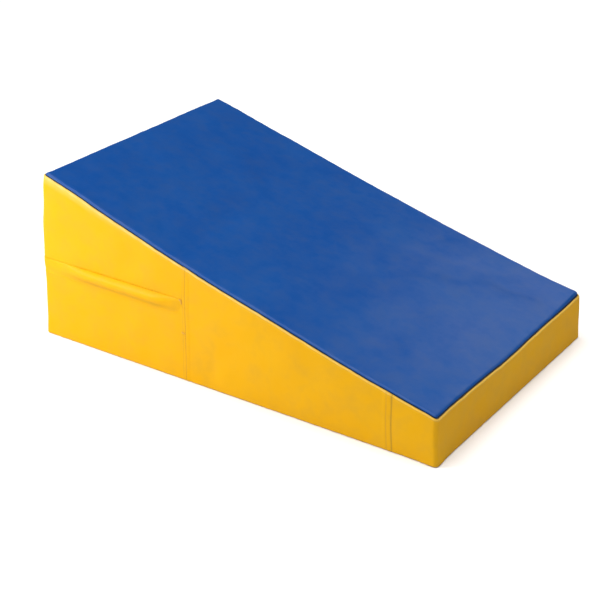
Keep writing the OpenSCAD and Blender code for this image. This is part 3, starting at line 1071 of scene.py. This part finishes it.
def coil(name, way):
    """Half of the zip's coil: one long spiral along the slit, meeting its twin on the centre line."""
    columns = even_end(ZIP_END, 3 * MM)
    lengths = path(columns)
    pitch, per_turn, sides, wire = 1.6 * MM, 8, 5, 0.3 * MM
    centre, height, depth, swing = 1.45 * MM, 1.3 * MM, 0.8 * MM, 0.7 * MM
    count = int(lengths[-1] / pitch * per_turn)
    s = np.linspace(0, lengths[-1], count)
    turn = 2 * math.pi * np.arange(count) / per_turn + (math.pi if way > 0 else 0)
    line = np.stack([np.interp(s, lengths, columns[:, i]) for i in range(4)], axis=1)
    z = ZIP_Z + way * (centre + height * np.sin(turn))
    middle = wall_points(line, z, swing * np.cos(turn) - depth)
    along = np.gradient(middle, axis=0)
    along /= np.linalg.norm(along, axis=1)[:, None]
    travel = np.column_stack([-line[:, 3], line[:, 2], np.zeros(count)])
    side = np.cross(along, travel)
    side /= np.linalg.norm(side, axis=1)[:, None]
    other = np.cross(along, side)
    rings = []
    for k in range(sides):
        a = 2 * math.pi * k / sides
        rings.append(middle + wire * (math.cos(a) * side + math.sin(a) * other))
    half = make_object(name, settled(np.stack(rings, axis=1)), tube_faces(count, sides))
    finish_piece(half, "cover", COIL, [name])


def keep_metal():
    """The slider, its pull and the end stops stay as the frame has them, in plated metal."""
    for node in ("zip_slider", "zip_pull", "zip_end_stops"):
        obj = frame["nodes"][node]
        obj.data.materials.clear()
        obj.data.materials.append(METAL)


# ---------------------------------------------------------------- floor, light and camera

def floor():
    """A wide pale floor that fills the view behind the mat."""
    n = Nodes("pale_floor", (0.93, 0.93, 0.93), Roughness=0.9, Specular_IOR_Level=0.1)
    n.drive("Base Color", n.mixed(n.noise(3.0), (0.92, 0.92, 0.92), (0.95, 0.95, 0.95)))
    reach = 12
    points = [(-reach, -reach, 0), (reach, -reach, 0), (reach, reach, 0), (-reach, reach, 0)]
    obj = make_object("floor", points, [(0, 1, 2, 3)])
    obj.location.z = -0.5 * MM
    obj.data.materials.append(n.material)
    obj.visible_glossy = False


def backdrop():
    """A white surround that only the camera sees, so that a low view has no horizon."""
    n = Nodes("white_surround", (0, 0, 0), Emission_Color=(1, 1, 1, 1), Emission_Strength=1.0)
    radius, height, count = 11.5, 9, 48
    points = []
    for z in (-1, height):
        for k in range(count):
            turn = 2 * math.pi * k / count
            points.append((radius * math.cos(turn), radius * math.sin(turn), z))
    faces = [(k, (k + 1) % count, count + (k + 1) % count, count + k) for k in range(count)]
    obj = make_object("backdrop", points, faces)
    obj.data.materials.append(n.material)
    obj.visible_diffuse = False
    obj.visible_glossy = False
    obj.visible_shadow = False


def lamp(name, kind, place, aim, power, **settings):
    """A light that the camera doesn't see, turned from its place towards its aim."""
    light = bpy.data.lights.new(name, kind)
    light.energy = power
    for key, value in settings.items():
        setattr(light, key, value)
    obj = add_to_scene(name, light)
    obj.location = place
    obj.rotation_euler = (Vector(aim) - Vector(place)).to_track_quat("-Z", "Y").to_euler()
    obj.visible_camera = False


def lights():
    """Soft light from above, a key by the near side of the high end, and a softbox behind."""
    key = {"shape": "RECTANGLE", "size": 0.7, "size_y": 0.7}
    softbox = {"shape": "RECTANGLE", "size": 1.6, "size_y": 0.9}
    lamp("soft_top_light", "SUN", (0, 0, 0), (0.06, 0.06, -0.99), 3.1, angle=math.radians(60))
    lamp("key", "AREA", (-1.2, -1.35, 0.85), (-0.52, -0.3, 0.1), 24, **key)
    lamp("back_softbox", "AREA", (0.65, 2.0, 1.75), (0.45, 0, 0.1), 11, **softbox)
    world = bpy.data.worlds.new("pale_room")
    world.use_nodes = True
    background = world.node_tree.nodes["Background"]
    background.inputs["Color"].default_value = (1, 1, 1, 1)
    background.inputs["Strength"].default_value = 0.14
    bpy.context.scene.world = world
    bpy.context.scene.view_settings.view_transform = "Standard"


def camera():
    """A long lens, looking down the slope from the near side of the low end."""
    azimuth, elevation = math.radians(34.07), math.radians(26.30)
    distance, shift_right, shift_up = 3.1503, -0.0217, 0.0724
    right = Vector((math.cos(azimuth), math.sin(azimuth), 0))
    back = Vector((right.y * math.cos(elevation), -right.x * math.cos(elevation), math.sin(elevation)))
    aim = right * shift_right + back.cross(right) * shift_up
    data = bpy.data.cameras.new("camera")
    data.lens = 89.0
    data.sensor_width = 36
    obj = add_to_scene("camera", data)
    obj.location = aim + back * distance
    obj.rotation_euler = (-back).to_track_quat("-Z", "Y").to_euler()
    bpy.context.scene.camera = obj


# ---------------------------------------------------------------- the whole mat

rear_band("rear_upper_band", FOLD_EDGE[::-1], TOP_EDGE, 20)
rear_band("rear_lower_band", BASE_EDGE, UNDER_FLAP + FOLD_EDGE, 16)
side_panel("side_panel_near", -1)
side_panel("side_panel_far", 1)
front_band()
top_panel()
bottom_panel()
foam_core()
for tag, side in (("near", -1), ("far", 1)):
    lap_stitches("rear_lap_stitches_" + tag, REAR_STITCH_X, side, REAR_LAP)
    lap_stitches("front_lap_stitches_" + tag, FRONT_STITCH_X, side, FRONT_LAP)
bar_tacks()
flap_pieces()
tape("zip_tape_upper", ZIP_Z + 0.1 * MM, ZIP_Z + TAPE_W)
tape("zip_tape_lower", ZIP_Z - TAPE_W, ZIP_Z - 0.1 * MM)
coil("zip_coil_upper", 1)
coil("zip_coil_lower", -1)
keep_metal()
floor()
backdrop()
lights()
camera()
